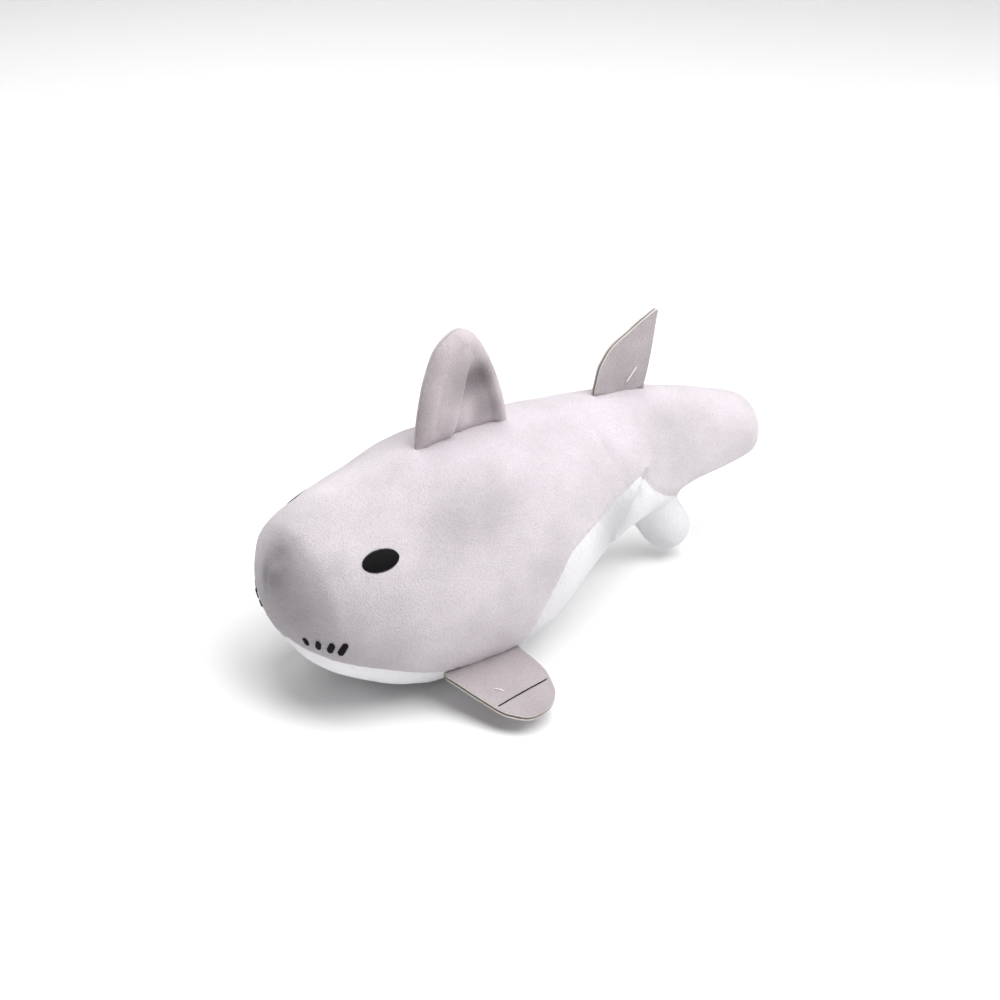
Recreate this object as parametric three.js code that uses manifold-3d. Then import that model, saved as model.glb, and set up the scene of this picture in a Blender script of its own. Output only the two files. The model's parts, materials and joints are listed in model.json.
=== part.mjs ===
// A stuffed shark: plush skins sewn along the back, belly and nose, fibre
// stuffing inside, a padded fin on the back, three flat two-layer fins, and
// embroidered eyes and mouth. Millimetres, +Z up, nose towards -Y, the
// shark's left side towards +X, resting on its belly at Z = 0.
import * as THREE from 'three';
import { mergeVertices } from 'three/addons/utils/BufferGeometryUtils.js';
import Module from 'manifold-3d';

const wasm = await Module();
wasm.setup();

// Overall sizes
const bodyLength = 400;
const bodyHeight = 156;
const bodyWidth = 164;

// Cloth, filling and clearances
const skinThickness = 3;
const finClothThickness = 1.4;
const seamGap = 0.3;
const coverGap = 0.3;
const finLayerGap = 0.3;

// Tail joint: a knuckle turning about an upright line
const tailPivotAlong = 0.675;
const knuckleShare = 1.06;
const bodyEndAlong = 0.64;
const jointGap = 0.8;

// Lower tail lobe
const lobeTopAlong = 0.735;
const lobeTopHeight = 0.46;
const lobeTopRadius = 22.5;
const lobeTipAlong = 0.812;
const lobeTipRadius = 19;
const lobeFloorClearance = 5;

// Padded fin on the back
const dorsalBase = 69;
const dorsalHeight = 68;
const dorsalFrontAlong = 0.284;
const dorsalRoundRadius = 5;
const dorsalCore = 1;
const dorsalClothThickness = 1.8;
const dorsalRootGap = 0.7;

// Flat fin near the tail
const rearFinBase = 43;
const rearFinHeight = 52;
const rearFinFrontAlong = 0.64;
const rearFinRootGap = 1.5;

// Flat fins at the sides
const sideFinChord = 58;
const sideFinReach = 53;
const sideFinFrontAlong = 0.213;
const sideFinRootHeight = 0.155;
const sideFinDroopDegrees = 12;
const sideFinRootGap = 1.4;
const threadWidth = 0.9;
const threadHeight = 0.6;
const threadGap = 0.1;

// Embroidery
const eyeLength = 23.4;
const eyeHeight = 14.4;
const eyeTiltDegrees = 7;
const eyeAlong = 0.1335;
const eyeLevel = 0.735;
const stitchThickness = 1.2;
const stitchGap = 0.3;
const mouthStitchWidth = 3.8;

// Roundness of the upper and lower halves of each cross-section, and how
// far up the section its widest line lies
const upperRoundness = 2.0;
const lowerRoundness = 2.3;
const widestShare = 0.44;

// Side view and plan of the body, nose to tail, as shares of its length,
// height (top and bottom line) and half width
const bodyProfile = [
  [0.0, 0.66, 0.52, 0.07],
  [0.015, 0.7, 0.36, 0.31],
  [0.05, 0.8, 0.21, 0.65],
  [0.1125, 0.865, 0.093, 0.8],
  [0.2125, 0.934, -0.006, 0.94],
  [0.325, 1.0, -0.016, 1.0],
  [0.4375, 0.99, 0.04, 0.94],
  [0.55, 0.975, 0.205, 0.76],
  [0.655, 0.95, 0.3, 0.6],
  [0.75, 0.917, 0.314, 0.44],
  [0.8375, 0.853, 0.36, 0.33],
  [0.92, 0.777, 0.385, 0.31],
  [0.975, 0.717, 0.405, 0.29],
  [0.995, 0.665, 0.46, 0.19],
  [1.0, 0.61, 0.53, 0.08],
];

// Height of the seam between grey back and white underside, nose to tail. It
// dips to the side fins, then climbs the flank and comes down behind the lobe
const bellySeam = [
  [-0.05, 0.32],
  [0.04, 0.325],
  [0.085, 0.297],
  [0.15, 0.235],
  [0.205, 0.186],
  [0.27, 0.155],
  [0.355, 0.158],
  [0.4, 0.37],
  [0.4625, 0.56],
  [0.5375, 0.635],
  [0.615, 0.69],
  [0.65, 0.695],
  [0.6875, 0.565],
  [0.725, 0.485],
  [0.8125, 0.335],
  [0.87, 0.24],
];

// Mouth stitches on one side, front to back: place along, level, height, and
// how many degrees the top leans rearward
const mouthStitches = [
  [0.023, 0.386, 5.6, -14],
  [0.0309, 0.3945, 7, 18],
  [0.0405, 0.4, 8.5, 26],
  [0.0536, 0.402, 10.5, 28],
];

// Fin outlines as shares of base and height, front root to rear root
const dorsalOutline = [
  [0, 0],
  [0.035, 0.28],
  [0.11, 0.6],
  [0.235, 0.86],
  [0.395, 0.98],
  [0.52, 1],
  [0.65, 0.915],
  [0.785, 0.68],
  [0.9, 0.38],
  [1, 0],
];
const rearFinOutline = [
  [0, 0],
  [0.03, 0.28],
  [0.11, 0.43],
  [0.26, 0.585],
  [0.56, 0.745],
  [0.8, 0.88],
  [1.05, 1],
  [1.1, 0.99],
];
const sideFinOutline = [
  [0.03, 0],
  [0.26, 0.7],
  [0.38, 0.89],
  [0.53, 1],
  [0.75, 0.98],
  [0.95, 0.83],
  [1.04, 0.58],
  [1.06, 0.34],
  [1.0, 0],
];

// Where the thread line crosses the side fin: shares of the reach, front and rear
const threadFrontReach = 0.69;
const threadRearReach = 0.56;
const threadFrontChord = 0.28;
const threadRearChord = 1.01;

// Mesh fineness
const sectionPoints = 36;
const outlinePoints = 22;
const seamPoints = 46;
const roundSegments = 28;
const smallestSection = 0.8;

const far = 3 * (bodyLength + bodyHeight + bodyWidth);
const noseY = -bodyLength / 2;

function material(name, color, roughness) {
  const made = new THREE.MeshStandardMaterial({ color, roughness, metalness: 0 });
  made.name = name;
  return made;
}

const greyPlush = material('grey_plush', 0xd3cbd1, 0.95);
const whitePlush = material('white_plush', 0xf0eeef, 0.95);
const finPlush = material('fin_plush', 0xbfb3bc, 0.95);
const blackThread = material('black_thread', 0x121214, 0.55);
const fibreFill = material('fibre_fill', 0xf4f2ee, 1.0);

const fromLength = (along) => noseY + along * bodyLength;
const toShare = (y) => (y - noseY) / bodyLength;

// Smooth curve through rows of [place, value, ...] that never overshoots them
function smoothRow(rows, place) {
  const at = Math.min(Math.max(place, rows[0][0]), rows[rows.length - 1][0]);
  let k = 0;
  while (k < rows.length - 2 && at > rows[k + 1][0]) {
    k += 1;
  }
  const slope = (i, c) => (rows[i + 1][c] - rows[i][c]) / (rows[i + 1][0] - rows[i][0]);
  const tangent = (i, c) => {
    const before = slope(Math.max(i - 1, 0), c);
    const after = slope(Math.min(i, rows.length - 2), c);
    return before * after > 0 ? (2 * before * after) / (before + after) : 0;
  };
  const span = rows[k + 1][0] - rows[k][0];
  const t = (at - rows[k][0]) / span;
  const value = (c) =>
    rows[k][c] * (1 + 2 * t) * (1 - t) ** 2 +
    rows[k + 1][c] * t * t * (3 - 2 * t) +
    tangent(k, c) * span * t * (1 - t) ** 2 -
    tangent(k + 1, c) * span * t * t * (1 - t);
  return rows[0].slice(1).map((_, i) => value(i + 1));
}

function sectionAt(y, inset) {
  const [top, bottom, halfShare] = smoothRow(bodyProfile, toShare(y));
  const centre = ((top + bottom) * bodyHeight) / 2;
  const least = smallestSection * Math.exp(-inset);
  const reach = Math.max(((top - bottom) * bodyHeight) / 2 - inset, least);
  const half = Math.max((halfShare * bodyWidth) / 2 - inset, least);
  const low = centre - reach;
  const high = centre + reach;
  return { high, low, middle: low + widestShare * (high - low), half };
}

// Distance of the outer skin from the centre plane at a place on the flank
function flankAt(y, z) {
  const s = sectionAt(y, 0);
  const above = z >= s.middle;
  const power = above ? upperRoundness : lowerRoundness;
  const reach = above ? s.high - s.middle : s.middle - s.low;
  const share = Math.min(Math.abs(z - s.middle) / reach, 1);
  return s.half * (1 - share ** power) ** (1 / power);
}

function topAt(y) {
  return sectionAt(y, 0).high;
}

function toManifold(geometry) {
  const plain = geometry.clone();
  plain.deleteAttribute('normal');
  plain.deleteAttribute('uv');
  const welded = mergeVertices(plain, 1e-4);
  const mesh = new wasm.Mesh({
    numProp: 3,
    vertProperties: new Float32Array(welded.attributes.position.array),
    triVerts: new Uint32Array(welded.index.array),
  });
  return new wasm.Manifold(mesh);
}

function toGeometry(solid) {
  const mesh = solid.getMesh();
  const geometry = new THREE.BufferGeometry();
  geometry.setAttribute('position', new THREE.BufferAttribute(mesh.vertProperties, 3));
  geometry.setIndex(new THREE.BufferAttribute(mesh.triVerts, 1));
  const flat = geometry.toNonIndexed();
  flat.computeVertexNormals();
  return flat;
}

// Body-shaped solid, smaller than the outer skin by the inset
function bodySolid(inset) {
  const positions = [];
  const indices = [];
  const places = bodyProfile.flatMap(([place], i) =>
    i === 0 ? [place] : [(bodyProfile[i - 1][0] + place) / 2, place]
  );
  const shrink = (bodyLength - 2 * inset) / bodyLength;
  places.forEach((place) => {
    const y = fromLength(place) * shrink;
    const s = sectionAt(fromLength(place), inset);
    for (let j = 0; j < sectionPoints; j += 1) {
      const angle = (2 * Math.PI * j) / sectionPoints;
      const c = Math.cos(angle);
      const v = Math.sin(angle);
      const power = 2 / (v >= 0 ? upperRoundness : lowerRoundness);
      const reach = v >= 0 ? s.high - s.middle : s.middle - s.low;
      const x = Math.sign(c) * Math.abs(c) ** power * s.half;
      positions.push(x, y, s.middle + Math.sign(v) * Math.abs(v) ** power * reach);
    }
  });
  const rings = places.length;
  for (let i = 0; i < rings - 1; i += 1) {
    for (let j = 0; j < sectionPoints; j += 1) {
      const a = i * sectionPoints + j;
      const b = i * sectionPoints + ((j + 1) % sectionPoints);
      const c = a + sectionPoints;
      const d = b + sectionPoints;
      indices.push(a, c, b, b, c, d);
    }
  }
  [0, rings - 1].forEach((ring) => {
    const start = ring * sectionPoints;
    const hub = positions.length / 3;
    positions.push(0, positions[start * 3 + 1], positions[start * 3 + 2]);
    for (let j = 0; j < sectionPoints; j += 1) {
      const a = start + j;
      const b = start + ((j + 1) % sectionPoints);
      indices.push(...(ring === 0 ? [hub, a, b] : [hub, b, a]));
    }
  });
  const geometry = new THREE.BufferGeometry();
  geometry.setAttribute('position', new THREE.Float32BufferAttribute(positions, 3));
  geometry.setIndex(indices);
  return toManifold(geometry).intersect(boxBetween([-far, -far, inset], [far, far, far]));
}

function boxBetween(low, high) {
  const size = high.map((value, i) => value - low[i]);
  const box = new THREE.BoxGeometry(...size);
  box.translate(...low.map((value, i) => value + size[i] / 2));
  return toManifold(box);
}

// Rounded, tapering lobe under the tail
function lobeSolid(inset) {
  const top = new THREE.Vector2(fromLength(lobeTopAlong), lobeTopHeight * bodyHeight);
  const tip = new THREE.Vector2(fromLength(lobeTipAlong), lobeTipRadius + lobeFloorClearance);
  const length = top.distanceTo(tip);
  const tilt = Math.asin((lobeTopRadius - lobeTipRadius) / length);
  const points = [];
  const steps = 6;
  for (let k = 0; k <= steps; k += 1) {
    const angle = -Math.PI / 2 + ((Math.PI / 2 + tilt) * k) / steps;
    const r = lobeTipRadius - inset;
    points.push(new THREE.Vector2(k === 0 ? 0 : r * Math.cos(angle), r * Math.sin(angle)));
  }
  for (let k = 0; k <= steps; k += 1) {
    const angle = tilt + ((Math.PI / 2 - tilt) * k) / steps;
    const r = lobeTopRadius - inset;
    points.push(new THREE.Vector2(k === steps ? 0 : r * Math.cos(angle), length + r * Math.sin(angle)));
  }
  const lathe = new THREE.LatheGeometry(points, roundSegments);
  const direction = new THREE.Vector3(0, top.x - tip.x, top.y - tip.y).normalize();
  lathe.applyQuaternion(new THREE.Quaternion().setFromUnitVectors(new THREE.Vector3(0, 1, 0), direction));
  lathe.translate(0, tip.x, tip.y);
  return toManifold(lathe);
}

// Everything that turns with the tail: the knuckle and all behind its line
function tailZone(extraRadius, startY) {
  const radius = knuckleShare * sectionAt(tailPivotY, 0).half + extraRadius;
  const knuckle = new THREE.CylinderGeometry(radius, radius, far, 2 * roundSegments);
  knuckle.rotateX(Math.PI / 2);
  knuckle.translate(0, tailPivotY, 0);
  return toManifold(knuckle).add(boxBetween([-far, startY, -far], [far, far, far]));
}

// Everything below the belly seam, moved up or down by half the seam gap
function bellyZone(lift) {
  const shape = new THREE.Shape();
  const last = bellySeam.length - 1;
  shape.moveTo(fromLength(bellySeam[0][0]), -far);
  for (let k = 0; k <= seamPoints; k += 1) {
    const place = bellySeam[0][0] + ((bellySeam[last][0] - bellySeam[0][0]) * k) / seamPoints;
    const [level] = smoothRow(bellySeam, place);
    shape.lineTo(fromLength(place), level * bodyHeight + lift);
  }
  shape.lineTo(fromLength(bellySeam[last][0]), -far);
  const slab = new THREE.ExtrudeGeometry(shape, { depth: 2 * far, bevelEnabled: false });
  slab.applyMatrix4(uprightPlane(-far));
  return toManifold(slab);
}

// Turns a shape drawn with Y across and Z up, extruded along X
function uprightPlane(x) {
  const turn = new THREE.Matrix4().makeBasis(
    new THREE.Vector3(0, 1, 0),
    new THREE.Vector3(0, 0, 1),
    new THREE.Vector3(1, 0, 0)
  );
  return turn.setPosition(x, 0, 0);
}

const leftHalf = boxBetween([seamGap / 2, -far, -far], [far, far, far]);
const rightHalf = boxBetween([-far, -far, -far], [-seamGap / 2, far, far]);
const tailPivotY = fromLength(tailPivotAlong);

// Layers from the outside in
const stuffingInset = skinThickness + coverGap;
const outerBody = bodySolid(0);
const innerBody = bodySolid(skinThickness);
const fillBody = bodySolid(stuffingInset);
const bodyCut = tailZone(jointGap / 2, fromLength(bodyEndAlong));
const tailKeep = tailZone(-jointGap / 2, tailPivotY);

const seamAndBelow = bellyZone(seamGap / 2);
const belowSeam = bellyZone(-seamGap / 2);

const bodySkin = outerBody.subtract(innerBody).subtract(bodyCut);
const upperSkin = bodySkin.subtract(seamAndBelow);

const outerTail = outerBody.add(lobeSolid(0));
const innerTail = innerBody.add(lobeSolid(skinThickness));
const tailSkin = outerTail.subtract(innerTail).intersect(tailKeep);
const tailUpper = tailSkin.subtract(seamAndBelow);
const tailUnder = tailSkin.intersect(belowSeam);
const tailFill = fillBody.add(lobeSolid(stuffingInset)).intersect(tailKeep);

// Point and directions on the left flank
function flankFrame(y, z) {
  const step = 0.5;
  const point = new THREE.Vector3(flankAt(y, z), y, z);
  const slopeY = (flankAt(y + step, z) - flankAt(y - step, z)) / (2 * step);
  const slopeZ = (flankAt(y, z + step) - flankAt(y, z - step)) / (2 * step);
  const out = new THREE.Vector3(1, -slopeY, -slopeZ).normalize();
  const back = new THREE.Vector3(slopeY, 1, 0).normalize();
  const up = new THREE.Vector3().crossVectors(out, back).normalize();
  back.crossVectors(up, out);
  return new THREE.Matrix4().makeBasis(back, up, out).setPosition(point);
}

const threadShell = bodySolid(-stitchGap - stitchThickness).subtract(bodySolid(-stitchGap));

// Embroidery cut from a thin layer just outside the skin
function embroidery(cutter, y, z, turnDegrees) {
  cutter.rotateZ(THREE.MathUtils.degToRad(turnDegrees));
  cutter.applyMatrix4(flankFrame(y, z));
  return toGeometry(threadShell.intersect(toManifold(cutter)));
}

function eyeGeometry() {
  const depth = 4 * (stitchGap + stitchThickness);
  const cutter = new THREE.CylinderGeometry(0.5, 0.5, depth, roundSegments);
  cutter.rotateX(Math.PI / 2);
  cutter.scale(eyeLength, eyeHeight, 1);
  return embroidery(cutter, fromLength(eyeAlong), eyeLevel * bodyHeight, eyeTiltDegrees);
}

function mouthStitchGeometry([place, level, height, leanDegrees]) {
  const depth = 4 * (stitchGap + stitchThickness);
  const radius = mouthStitchWidth / 2;
  const bar = new THREE.CapsuleGeometry(radius, height - mouthStitchWidth, 4, 12);
  bar.scale(1, 1, depth / mouthStitchWidth);
  return embroidery(bar, fromLength(place), level * bodyHeight, -leanDegrees);
}

// Outline curve through the given points, closed along the root
function outlineShape(outline, mapPoint) {
  const corners = outline.map(([a, b]) => mapPoint(a, b));
  const curve = new THREE.SplineCurve(corners);
  return new THREE.Shape(curve.getPoints(outlinePoints));
}

const dorsalFrontY = fromLength(dorsalFrontAlong);
const dorsalHalfThickness = dorsalRoundRadius + dorsalCore / 2;

// The fin's root line lies just above the highest point of the back under it
function dorsalRootZ() {
  const steps = 8;
  let highest = 0;
  for (let k = 0; k <= steps; k += 1) {
    highest = Math.max(highest, topAt(dorsalFrontY + (dorsalBase * k) / steps));
  }
  return highest + dorsalRootGap + dorsalHalfThickness;
}

function dorsalSolid(inset) {
  const round = dorsalRoundRadius - inset;
  const rootZ = dorsalRootZ();
  const shape = outlineShape(dorsalOutline, (a, b) => {
    const y = dorsalFrontY + dorsalRoundRadius + a * (dorsalBase - 2 * dorsalRoundRadius);
    return new THREE.Vector2(y, rootZ + b * (dorsalHeight - 2 * dorsalHalfThickness));
  });
  const solid = new THREE.ExtrudeGeometry(shape, {
    depth: dorsalCore,
    bevelThickness: round,
    bevelSize: round,
    bevelSegments: 3,
  });
  solid.applyMatrix4(uprightPlane(-dorsalCore / 2));
  return toManifold(solid);
}

// Flat fin near the tail, standing on the sloping back
function rearFinRoot() {
  const frontY = fromLength(rearFinFrontAlong);
  const front = new THREE.Vector2(frontY, topAt(frontY));
  const rear = new THREE.Vector2(frontY + rearFinBase, topAt(frontY + rearFinBase));
  const along = rear.clone().sub(front).normalize();
  const steps = 8;
  let rise = 0;
  for (let k = 0; k <= steps; k += 1) {
    const y = frontY + (rearFinBase * k) / steps;
    const line = front.y + ((y - frontY) * (rear.y - front.y)) / rearFinBase;
    rise = Math.max(rise, topAt(y) - line);
  }
  front.y += rise + rearFinRootGap;
  return { front, along };
}

function rearFinGeometry(side) {
  const { front, along } = rearFinRoot();
  const up = new THREE.Vector2(-along.y, along.x);
  const shape = outlineShape(rearFinOutline, (a, b) =>
    front.clone().addScaledVector(along, a * rearFinBase).addScaledVector(up, b * rearFinHeight)
  );
  const root = front.clone().addScaledVector(along, rearFinBase);
  shape.lineTo(root.x, root.y);
  const layer = new THREE.ExtrudeGeometry(shape, { depth: finClothThickness, bevelEnabled: false });
  const offset = side > 0 ? finLayerGap / 2 : -finLayerGap / 2 - finClothThickness;
  layer.applyMatrix4(uprightPlane(offset));
  return toGeometry(toManifold(layer));
}

// Root line of the left side fin: a straight line clear of the bulging flank
function sideFinRoot() {
  const z = sideFinRootHeight * bodyHeight;
  const frontY = fromLength(sideFinFrontAlong);
  const rearY = frontY + sideFinChord;
  const frontX = flankAt(frontY, z);
  const slope = (flankAt(rearY, z) - frontX) / sideFinChord;
  const steps = 8;
  let bulge = 0;
  for (let k = 0; k <= steps; k += 1) {
    const y = frontY + (sideFinChord * k) / steps;
    bulge = Math.max(bulge, flankAt(y, z) - frontX - slope * (y - frontY));
  }
  const start = new THREE.Vector3(frontX + bulge + sideFinRootGap, frontY, z);
  const along = new THREE.Vector3(slope, 1, 0).normalize();
  return { start, along };
}

// Frame of the left side fin: chord, reach and upper normal
function sideFinFrame() {
  const { start, along } = sideFinRoot();
  const droop = THREE.MathUtils.degToRad(sideFinDroopDegrees);
  const level = new THREE.Vector3(along.y, -along.x, 0);
  const reach = level.multiplyScalar(Math.cos(droop)).add(new THREE.Vector3(0, 0, -Math.sin(droop)));
  const normal = new THREE.Vector3().crossVectors(reach, along);
  return new THREE.Matrix4().makeBasis(reach, along, normal).setPosition(start);
}

function sideFinLayer(low) {
  const shape = outlineShape(sideFinOutline, (a, b) => new THREE.Vector2(b * sideFinReach, a * sideFinChord));
  const layer = new THREE.ExtrudeGeometry(shape, { depth: finClothThickness, bevelEnabled: false });
  layer.translate(0, 0, low);
  layer.applyMatrix4(sideFinFrame());
  return toGeometry(toManifold(layer));
}

function threadLineGeometry() {
  const from = new THREE.Vector2(threadFrontReach * sideFinReach, threadFrontChord * sideFinChord);
  const to = new THREE.Vector2(threadRearReach * sideFinReach, threadRearChord * sideFinChord);
  const span = to.clone().sub(from);
  const line = new THREE.BoxGeometry(threadWidth, span.length(), threadHeight);
  line.rotateZ(-Math.atan2(span.x, span.y));
  const above = finLayerGap / 2 + finClothThickness + threadGap + threadHeight / 2;
  line.translate((from.x + to.x) / 2, (from.y + to.y) / 2, above);
  line.applyMatrix4(sideFinFrame());
  return toGeometry(toManifold(line));
}

// The same piece on the shark's other side
function mirrored(geometry) {
  const copy = geometry.clone();
  const p = copy.attributes.position;
  for (let i = 0; i < p.count; i += 3) {
    const corners = [0, 2, 1].map((k) => [p.getX(i + k), p.getY(i + k), p.getZ(i + k)]);
    corners.forEach(([x, y, z], k) => p.setXYZ(i + k, -x, y, z));
  }
  copy.computeVertexNormals();
  return copy;
}

const root = new THREE.Group();
root.name = 'plush_shark';

function addPiece(name, geometry, surface) {
  const mesh = new THREE.Mesh(geometry, surface);
  mesh.name = name;
  root.add(mesh);
}

function addPair(name, geometry, surface) {
  addPiece(name.replace('SIDE', 'left'), geometry, surface);
  addPiece(name.replace('SIDE', 'right'), mirrored(geometry), surface);
}

addPiece('body_stuffing', toGeometry(fillBody.subtract(bodyCut)), fibreFill);
addPiece('side_panel_left', toGeometry(upperSkin.intersect(leftHalf)), greyPlush);
addPiece('side_panel_right', toGeometry(upperSkin.intersect(rightHalf)), greyPlush);
addPiece('belly_panel', toGeometry(bodySkin.intersect(belowSeam)), whitePlush);
addPiece('tail_stuffing', toGeometry(tailFill), fibreFill);
addPiece('tail_panel_left', toGeometry(tailUpper.intersect(leftHalf)), greyPlush);
addPiece('tail_panel_right', toGeometry(tailUpper.intersect(rightHalf)), greyPlush);
addPiece('tail_lobe_left', toGeometry(tailUnder.intersect(leftHalf)), whitePlush);
addPiece('tail_lobe_right', toGeometry(tailUnder.intersect(rightHalf)), whitePlush);

addPair('eye_SIDE', eyeGeometry(), blackThread);
mouthStitches.forEach((stitch, i) => {
  addPair(`mouth_stitch_SIDE_${i + 1}`, mouthStitchGeometry(stitch), blackThread);
});

const dorsalSkin = dorsalSolid(0).subtract(dorsalSolid(dorsalClothThickness));
addPiece('dorsal_panel_left', toGeometry(dorsalSkin.intersect(leftHalf)), finPlush);
addPiece('dorsal_panel_right', toGeometry(dorsalSkin.intersect(rightHalf)), finPlush);
addPiece('dorsal_wadding', toGeometry(dorsalSolid(dorsalClothThickness + coverGap)), fibreFill);

addPiece('rear_fin_panel_left', rearFinGeometry(1), finPlush);
addPiece('rear_fin_panel_right', rearFinGeometry(-1), finPlush);

addPair('side_fin_SIDE_top', sideFinLayer(finLayerGap / 2), finPlush);
addPair('side_fin_SIDE_bottom', sideFinLayer(-finLayerGap / 2 - finClothThickness), finPlush);
addPair('side_fin_SIDE_thread', threadLineGeometry(), blackThread);

export default root;
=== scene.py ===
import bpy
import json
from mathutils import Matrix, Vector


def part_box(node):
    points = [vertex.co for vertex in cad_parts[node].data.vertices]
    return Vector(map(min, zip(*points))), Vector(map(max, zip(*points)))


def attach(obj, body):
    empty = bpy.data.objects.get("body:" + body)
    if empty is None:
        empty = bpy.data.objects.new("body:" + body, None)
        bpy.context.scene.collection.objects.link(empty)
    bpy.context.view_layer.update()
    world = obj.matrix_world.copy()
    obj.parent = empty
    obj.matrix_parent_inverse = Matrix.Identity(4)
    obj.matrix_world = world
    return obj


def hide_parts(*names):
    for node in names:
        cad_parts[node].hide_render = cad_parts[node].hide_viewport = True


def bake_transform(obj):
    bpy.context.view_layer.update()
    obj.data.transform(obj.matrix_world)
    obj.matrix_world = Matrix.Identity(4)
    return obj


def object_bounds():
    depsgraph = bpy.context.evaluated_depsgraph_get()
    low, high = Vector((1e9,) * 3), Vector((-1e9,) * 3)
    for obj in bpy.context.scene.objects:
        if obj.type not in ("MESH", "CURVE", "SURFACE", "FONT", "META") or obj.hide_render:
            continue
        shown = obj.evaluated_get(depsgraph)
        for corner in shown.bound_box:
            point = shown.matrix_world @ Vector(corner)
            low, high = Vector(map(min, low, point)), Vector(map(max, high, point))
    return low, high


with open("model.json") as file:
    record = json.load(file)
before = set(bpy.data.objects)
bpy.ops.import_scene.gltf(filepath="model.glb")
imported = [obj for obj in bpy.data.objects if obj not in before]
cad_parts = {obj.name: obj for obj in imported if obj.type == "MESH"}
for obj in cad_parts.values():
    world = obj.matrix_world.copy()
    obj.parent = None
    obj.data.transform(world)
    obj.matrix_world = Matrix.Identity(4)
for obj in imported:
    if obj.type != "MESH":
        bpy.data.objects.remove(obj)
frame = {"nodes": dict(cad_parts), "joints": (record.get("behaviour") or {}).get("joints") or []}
CAD_BOX = [list(corner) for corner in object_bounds()]

import json
import math
import random
import bmesh
import bpy
import numpy as np
from mathutils import Vector, noise
from mathutils.bvhtree import BVHTree
from mathutils.kdtree import KDTree

MM = 0.001
random.seed(7)
NODES = frame["nodes"]
JOINTS = {j["name"]: j for j in frame["joints"]}
NOSE_Y = CAD_BOX[0][1]
LENGTH = CAD_BOX[1][1] - CAD_BOX[0][1]
BODY_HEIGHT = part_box("side_panel_left")[1][2]
TINY = 1e-9
HALF_TURN = math.pi
RELAX_FACTORS = (0.5, -0.52)
NOISE_SHIFT = (3.1, 7.7, 1.3)

# ---------------------------------------------------------------- helpers


def smooth_step(low, high, value):
    t = np.clip((value - low) / (high - low), 0.0, 1.0)
    return t * t * (3 - 2 * t)


def spline(points, count):
    """Catmull-Rom curve through 2-D or 3-D points."""
    p = np.array(points, float)
    p = np.vstack([2 * p[0] - p[1], p, 2 * p[-1] - p[-2]])
    out = []
    spans = len(p) - 3
    for s in np.linspace(0, spans, count):
        k = min(int(s), spans - 1)
        t = s - k
        a, b, c, d = p[k : k + 4]
        second = 2 * a - 5 * b + 4 * c - d
        third = 3 * b - a - 3 * c + d
        out.append(0.5 * (2 * b + (c - a) * t + second * t * t + third * t ** 3))
    return np.array(out)


def monotone(rows, at):
    """Smooth curve through (place, value) rows that never overshoots."""
    x, y = np.array(rows, float).T
    slope = np.diff(y) / np.diff(x)
    tangent = np.zeros(len(x))
    tangent[0], tangent[-1] = slope[0], slope[-1]
    for i in range(1, len(x) - 1):
        if slope[i - 1] * slope[i] > 0:
            tangent[i] = 2 * slope[i - 1] * slope[i] / (slope[i - 1] + slope[i])
    at = np.clip(at, x[0], x[-1])
    k = np.clip(np.searchsorted(x, at, side="right") - 1, 0, len(x) - 2)
    h = x[k + 1] - x[k]
    t = (at - x[k]) / h
    return (
        y[k] * (1 + 2 * t) * (1 - t) ** 2
        + y[k + 1] * t * t * (3 - 2 * t)
        + tangent[k] * h * t * (1 - t) ** 2
        - tangent[k + 1] * h * t * t * (1 - t)
    )


def points_of(mesh):
    co = np.empty(len(mesh.vertices) * 3)
    mesh.vertices.foreach_get("co", co)
    return co.reshape(-1, 3)


def set_points(mesh, co):
    mesh.vertices.foreach_set("co", np.ascontiguousarray(co, float).ravel())
    mesh.update()


def normals_of(mesh):
    n = np.empty(len(mesh.vertices) * 3)
    mesh.vertices.foreach_get("normal", n)
    return n.reshape(-1, 3)


def new_object(name, mesh):
    obj = bpy.data.objects.new(name, mesh)
    bpy.context.scene.collection.objects.link(obj)
    return obj


def mesh_object(name, verts, faces):
    mesh = bpy.data.meshes.new(name)
    mesh.from_pydata([tuple(v) for v in verts], [], faces)
    mesh.validate()
    mesh.update()
    return new_object(name, mesh)


def shade_smooth(obj):
    obj.data.polygons.foreach_set("use_smooth", [True] * len(obj.data.polygons))
    obj.data.update()


def bvh_of(mesh):
    """Tree of a mesh's faces for ray casts and nearest points."""
    faces = [tuple(polygon.vertices) for polygon in mesh.polygons]
    return BVHTree.FromPolygons([tuple(point) for point in points_of(mesh)], faces)


def turn_outward(obj, weld=0.0):
    """Faces turned outward; with a weld distance, near points joined and gaps closed first."""
    bm = bmesh.new()
    bm.from_mesh(obj.data)
    if weld:
        bmesh.ops.remove_doubles(bm, verts=bm.verts[:], dist=weld)
        bmesh.ops.holes_fill(bm, edges=[e for e in bm.edges if e.is_boundary], sides=0)
    bmesh.ops.recalc_face_normals(bm, faces=bm.faces[:])
    bm.to_mesh(obj.data)
    bm.free()


def apply_modifiers(obj):
    bpy.context.view_layer.update()
    graph = bpy.context.evaluated_depsgraph_get()
    made = bpy.data.meshes.new_from_object(obj.evaluated_get(graph))
    old = obj.data
    obj.modifiers.clear()
    obj.data = made
    bpy.data.meshes.remove(old)


def relax(mesh, rounds):
    """Taubin smoothing, which doesn't shrink the shape."""
    edges = np.empty(len(mesh.edges) * 2, int)
    mesh.edges.foreach_get("vertices", edges)
    a, b = edges.reshape(-1, 2).T
    p = points_of(mesh)
    count = np.bincount(np.r_[a, b], minlength=len(p))[:, None]
    for _ in range(rounds):
        for factor in RELAX_FACTORS:
            total = np.zeros_like(p)
            np.add.at(total, a, p[b])
            np.add.at(total, b, p[a])
            p = p + factor * (total / np.maximum(count, 1) - p)
    set_points(mesh, p)


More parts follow.
